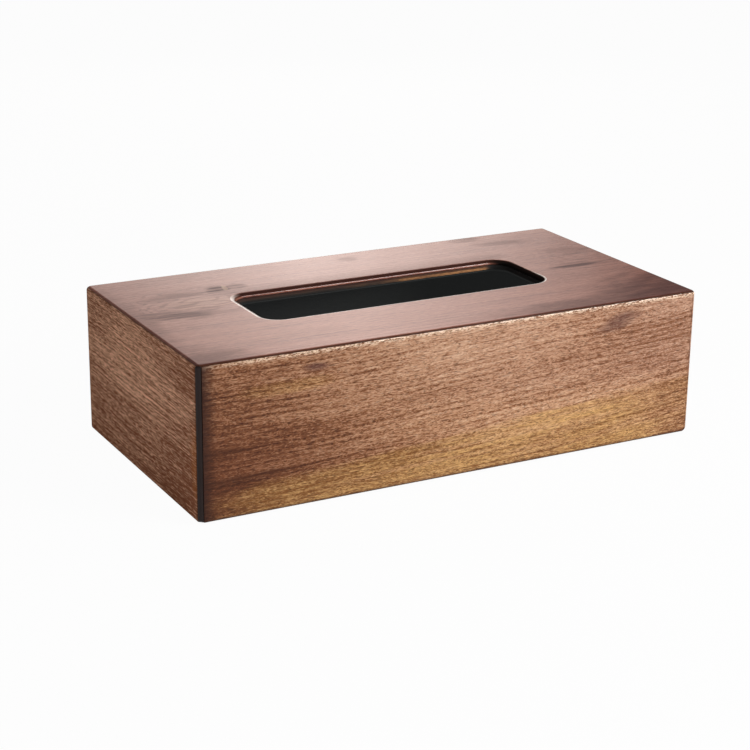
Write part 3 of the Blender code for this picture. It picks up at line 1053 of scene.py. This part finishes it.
CORNERS = [
    ("front_left", -1, -1),
    ("front_right", 1, -1),
    ("back_left", -1, 1),
    ("back_right", 1, 1),
]
BEAD_FINISHES = {
    "front_left": (bead_lacquer, "black_lacquer"),
    "front_right": (walnut_front, "walnut"),
    "back_left": (bead_lacquer, "black_lacquer"),
    "back_right": (walnut_back, "walnut"),
}
for corner, side_x, side_y in CORNERS:
    bead("bead_" + corner, side_x, side_y, *BEAD_FINISHES[corner])
print("beads:", len(CORNERS))

# %% [markdown]
# ## The core board under the top
#
# This is the flat board that the top facing is glued to. Its edge is the second layer
# that shows in the wall of the slot, so it gets a skin whose slot has the same smooth
# corners as the facing's. The solid itself would do from afar, but its corners have
# fewer steps, and light along the slot would show the mismatch.

# %% Build the core board
CORE_LOW, CORE_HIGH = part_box("core_top")


def core_rings():
    """Rings of the flat board that the slot goes through."""
    low, high = CORE_LOW.z, CORE_HIGH.z
    slot = SLOT_HALF_LENGTH, SLOT_HALF_WIDTH, SLOT_CORNER
    outer = CORE_HIGH.x, CORE_HIGH.y, 0
    return [ring(*slot, low), ring(*slot, high), ring(*outer, high), ring(*outer, low)]


core_skin = skin("top_core", core_rings())
core = add_piece("top_core", core_skin, core_wood, "cover", "core_wood", "core_top")
ease_edges(core)
print("core:", len(core.data.polygons), "faces")

# %% [markdown]
# ## Magnets and pads
#
# Both are discs with rounded edges. A magnet is plated, with a small crisp edge that
# glints, and a felt pad is soft, with an edge worn rounder. A cylinder with a bevel
# would give nearly the same form. Here one profile is turned round the middle of the
# solid's box, because it takes both its sizes from that box and serves all twelve.

# %% Build the discs
TURN_STEPS = 48
MAGNET_EDGE, MAGNET_STEPS, MAGNET_EASE = 0.25 * MM, 3, 0.02 * MM
PAD_EDGE, PAD_STEPS = 0.45 * MM, 5


def disc(name, node, edge, steps, material, body, slot):
    """A disc that fills a node's box, with its edges rounded in a number of steps."""
    low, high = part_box(node)
    middle = (low + high) / 2
    radius, depth = (high.x - low.x) / 2, high.z - low.z
    foot = [
        (radius - edge * (1 - sine), edge * (1 - cosine))
        for sine, cosine in arc(steps, 0, 90)
    ]
    head = [(out, depth - height) for out, height in reversed(foot)]
    rings = []
    for out, height in foot + head:
        points = []
        for step in range(TURN_STEPS):
            turn = step / TURN_STEPS * math.tau
            x = middle.x + out * math.cos(turn)
            y = middle.y + out * math.sin(turn)
            points.append(Vector((x, y, low.z + height)))
        rings.append(points)
    data = skin(name, rings, around=False, ends=True)
    return add_piece(name, data, material, body, slot, node)


for corner, side_x, side_y in CORNERS:
    for where, body in (("ledge", "cover"), ("base", "base")):
        name, node = f"{where}_disc_{corner}", f"{where}_magnet_{corner}"
        magnet = disc(name, node, MAGNET_EDGE, MAGNET_STEPS, nickel, body, "nickel")
        ease_edges(magnet, MAGNET_EASE)
    name, node = "foot_" + corner, "pad_" + corner
    disc(name, node, PAD_EDGE, PAD_STEPS, pad_felt, "base", "felt")
print("discs:", 3 * len(CORNERS))

# %% [markdown]
# ## Boards that stay as they are
#
# The inner boards, the linings, the ledges and the base are flat boards, and their
# solids already have the right shape. A second mesh over each would add nothing, so
# they keep their own and only get finishes.

# %% Finish the boards that stay
KEPT = [
    (core_wood, ["core_front", "core_back", "core_left", "core_right"]),
    (lining_flock, ["lining_top", "lining_front", "lining_back"]),
    (lining_flock, ["lining_left", "lining_right", "base_lining"]),
    (ledge_stain, ["ledge_left", "ledge_right"]),
    (base_paint, ["base_board"]),
]
for material, names in KEPT:
    for name in names:
        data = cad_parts[name].data
        data.materials.clear()
        data.materials.append(material)
print("boards that stay:", sum(len(names) for material, names in KEPT))

# %% [markdown]
# ## The floor
#
# The box stands on white paper that runs into a white backdrop. Enough lamps would
# make the paper white, but they would bleach the wood too. Here the paper shows plain
# white to the eye and in reflections by way of its own material, and only a small
# part of its look is left to the light, so that the shadow stays but is faint.

# %% Lay the floor
FLOOR_HALF = 4.0
FLOOR_WHITE = 0.965
WHITE = (1, 1, 1, 1)


def floor_paper():
    """White paper that keeps the shadow."""
    paper = Finish("floor_paper")
    fibre = paper.noise(paper.place(), (1.5, 1.5, 1.5), 20, 2.0)
    paper.feed(Base_Color=paper.mix(fibre, (0.86, 0.86, 0.86), (0.9, 0.9, 0.9)))
    paper.constants(Roughness=0.9, Specular_IOR_Level=0.0)
    seen = paper.rays()[1]
    glow = paper.node("ShaderNodeEmission", None, {"Color": WHITE})
    lit = Wire(paper, paper.shader.outputs[0])
    blend = paper.node("ShaderNodeMixShader", None, {0: seen * FLOOR_WHITE, 1: lit, 2: glow})
    paper.plug(paper.tree.nodes["Material Output"].inputs["Surface"], blend)
    return paper.material


around = [(-1, -1), (1, -1), (1, 1), (-1, 1)]
corners = [(x * FLOOR_HALF, y * FLOOR_HALF, 0) for x, y in around]
floor_data = bpy.data.meshes.new("floor")
floor_data.from_pydata(corners, [], [(0, 1, 2, 3)])
floor = bpy.data.objects.new("floor", floor_data)
floor_data.materials.append(floor_paper())
bpy.context.scene.collection.objects.link(floor)
print("floor:", 2 * FLOOR_HALF, "m square")

# %% [markdown]
# ## The world
#
# A studio is white at eye level and has a dark ceiling, so that a rounded edge shows
# one bright line and not a pale haze. A picture of a studio could be wrapped round
# the scene. A plain ramp on the height of a direction does the same with a few
# numbers: the even light, the white at the horizon, and where the dark begins.

# %% Set the world
AMBIENT = 0.2
HORIZON = 0.8
CEILING_DARK = 0.9
CEILING_START, CEILING_FULL = math.radians(2), math.radians(9)


def studio_world():
    """White to the eye, white at the horizon in reflections, dim as a light."""
    world = bpy.data.worlds.new("studio")
    world.use_nodes = True
    bpy.context.scene.world = world
    sky = Bench(world.node_tree)
    for node in list(sky.tree.nodes):
        sky.tree.nodes.remove(node)
    rise = sky.split(sky.node("ShaderNodeTexCoord", output="Generated"))[2]
    camera, seen = sky.rays()
    ceiling = rise.ease(math.sin(CEILING_START), math.sin(CEILING_FULL))
    level = AMBIENT + seen * (HORIZON * (1 - ceiling * CEILING_DARK) - AMBIENT)
    level = level + camera * (1 - level)
    white = sky.node("ShaderNodeBackground", None, {"Color": WHITE, "Strength": level})
    sky.node("ShaderNodeOutputWorld", None, {"Surface": white})
    return world


print("world:", studio_world().name)

# %% [markdown]
# ## The lamps
#
# A soft key lamp at the front right and a weak fill at the front left light the wood
# at a plain level. The pale, warm sheen on the top is a reflection, strongest in the
# middle and gone at both ends. One large lamp behind the box gives a sheen with hard
# ends. So two stacks of slim cards stand there, each card wider than the one before
# it, and where more of them overlap, the reflection is brighter.

# %% Hang one lamp
def toward(azimuth, elevation):
    """A direction in degrees: azimuth 0 is to the front, 90 to the right."""
    a, e = math.radians(azimuth), math.radians(elevation)
    return Vector((math.sin(a) * math.cos(e), -math.cos(a) * math.cos(e), math.sin(e)))


def lamp(name, azimuth, elevation, distance, size, radiance, hue=(1, 1, 1)):
    """A soft rectangular lamp that looks at the box."""
    out = toward(azimuth, elevation)
    data = bpy.data.lights.new(name, "AREA")
    data.shape = "RECTANGLE"
    data.size, data.size_y = size
    data.energy = radiance * math.pi * size[0] * size[1]
    data.color = hue
    light = bpy.data.objects.new(name, data)
    light.location = out * distance + Vector((0, 0, HEIGHT / 2))
    light.rotation_mode = "QUATERNION"
    light.rotation_quaternion = out.to_track_quat("Z", "Y")
    bpy.context.scene.collection.objects.link(light)


lamp("key", azimuth=40, elevation=27, distance=1.1, size=(0.55, 0.5), radiance=10.5)

# %% Stack the cards and add the fill
CARD_COUNT = 8
CARD_WIDTH, CARD_GROWTH, CARD_HEIGHT = 0.05, 0.09, 0.158
CARD_DISTANCE, CARD_GAP = 1, 0.01
CARDS = [
    ("low", 156, 14, 0.39, (1, 0.85, 0.79)),
    ("high", 152.5, 23, 0.3, (1, 0.78, 0.70)),
]
for stack, azimuth, elevation, radiance, hue in CARDS:
    for step in range(CARD_COUNT):
        size = CARD_WIDTH + CARD_GROWTH * step, CARD_HEIGHT
        distance = CARD_DISTANCE + CARD_GAP * step
        lamp(f"{stack}_card_{step}", azimuth, elevation, distance, size, radiance, hue)
lamp("fill", azimuth=-55, elevation=20, distance=1.4, size=(1.0, 0.8), radiance=1.1)
print("lamps:", len(bpy.data.lights))

# %% [markdown]
# ## The camera
#
# The camera stands to the front left and a little above, with a long lens, so the
# box's edges stay nearly parallel. It could be aimed by eye. Its place, its turn and
# its lens were fitted instead, so that the outline of the box falls on the outline in
# the picture to within half a pixel.

# %% Set up the camera
AZIMUTH, ELEVATION, ROLL = -28.484, 18.798, 0.754
CAMERA_PLACE = Vector((-0.40557, -0.73248, 0.31259))
SENSOR_WIDTH, LENS = 36.0, 90.82
camera_data = bpy.data.cameras.new("camera")
camera_data.sensor_width = SENSOR_WIDTH
camera_data.lens = LENS
camera = bpy.data.objects.new("camera", camera_data)
camera.matrix_world = (
    Matrix.Translation(CAMERA_PLACE)
    @ Matrix.Rotation(math.radians(AZIMUTH), 4, "Z")
    @ Matrix.Rotation(math.radians(90 - ELEVATION), 4, "X")
    @ Matrix.Rotation(math.radians(ROLL), 4, "Z")
)
bpy.context.scene.collection.objects.link(camera)
bpy.context.scene.camera = camera
bpy.context.scene.view_settings.view_transform = "Standard"
print("camera is", round(CAMERA_PLACE.length, 3), "m from the box")
